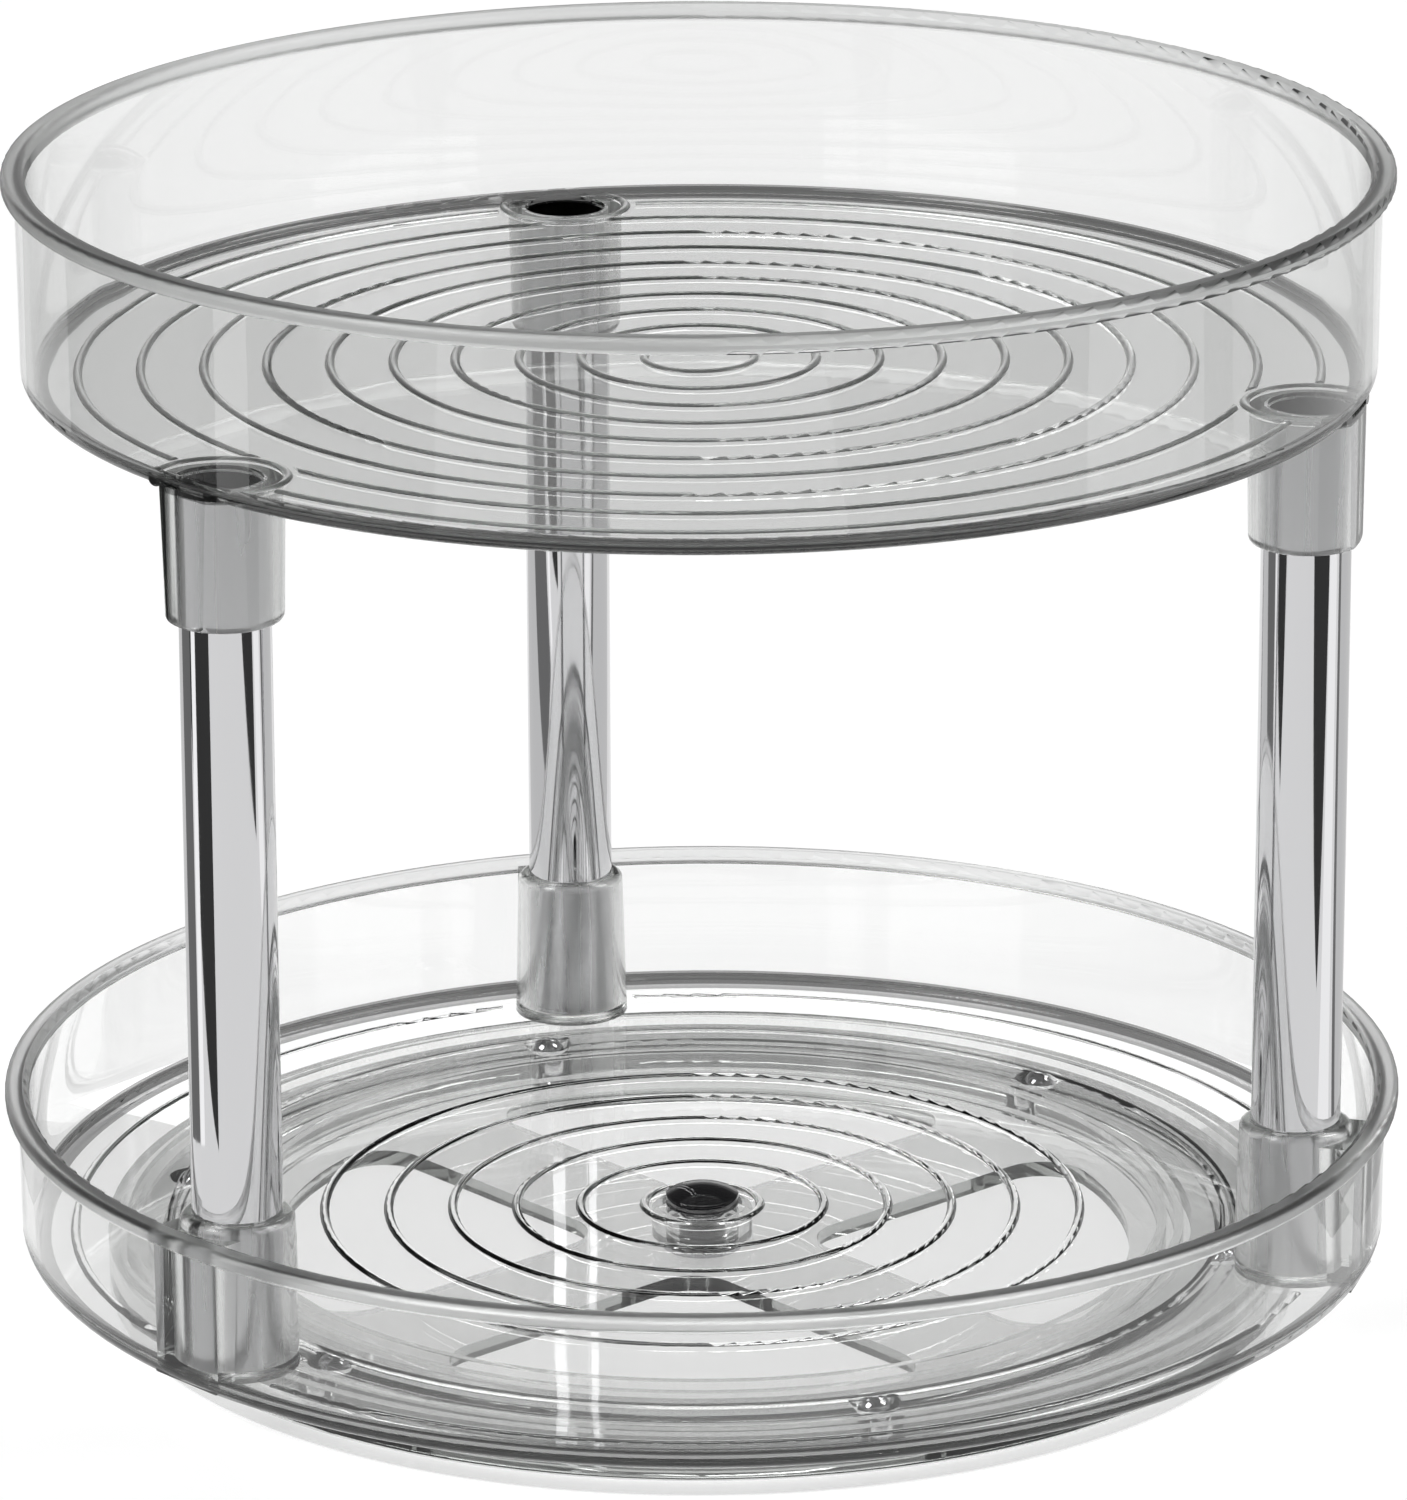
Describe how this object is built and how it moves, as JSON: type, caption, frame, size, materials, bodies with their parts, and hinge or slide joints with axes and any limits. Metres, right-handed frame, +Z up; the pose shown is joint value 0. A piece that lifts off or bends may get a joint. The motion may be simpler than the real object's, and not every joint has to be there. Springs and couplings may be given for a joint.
{
  "type": "tiered lazy susan turntable",
  "caption": "Tiered round turntable of clear plastic: walled trays joined by chrome tube posts spin together on a spoked clear base with an open ball race.",
  "frame": {"origin": "centre of the base's foot, on the table", "axes": "+Z up along the turning axis; -Y towards the pictured side; +X to the picture's right"},
  "size_m": [0.236, 0.236, 0.1955],
  "materials": {
    "clear_plastic": "clear, polished, faint smoke grey",
    "cage_plastic": "clear, polished",
    "chrome_tube": "bright chrome plating",
    "bearing_steel": "polished",
    "black_plastic": "glossy black",
    "spring_steel": "satin"
  },
  "bodies": {
    "stand": {"base": "clear_plastic", "pivot_rivet": "black_plastic", "retaining_clip": "spring_steel"},
    "bearing": {"ball_cage": "cage_plastic", "bearing_ball_1": "bearing_steel", "bearing_ball_2": "bearing_steel", "bearing_ball_3": "bearing_steel", "bearing_ball_4": "bearing_steel", "bearing_ball_5": "bearing_steel", "bearing_ball_6": "bearing_steel"},
    "turntable": {"lower_tray": "clear_plastic", "rear_post": "chrome_tube", "left_post": "chrome_tube", "right_post": "chrome_tube", "upper_tray": "clear_plastic"}
  },
  "joints": [
    {"name": "tray_spin", "type": "hinge", "parent": "stand", "child": "turntable", "pos_m": [0, 0, 0.0118], "axis": [0, 0, 1], "continuous": true},
    {"name": "cage_spin", "type": "hinge", "parent": "stand", "child": "bearing", "pos_m": [0, 0, 0.0071], "axis": [0, 0, 1], "continuous": true}
  ],
  "couplings": [
    {"joint": "cage_spin", "follows": "tray_spin", "ratio": 0.5}
  ]
}
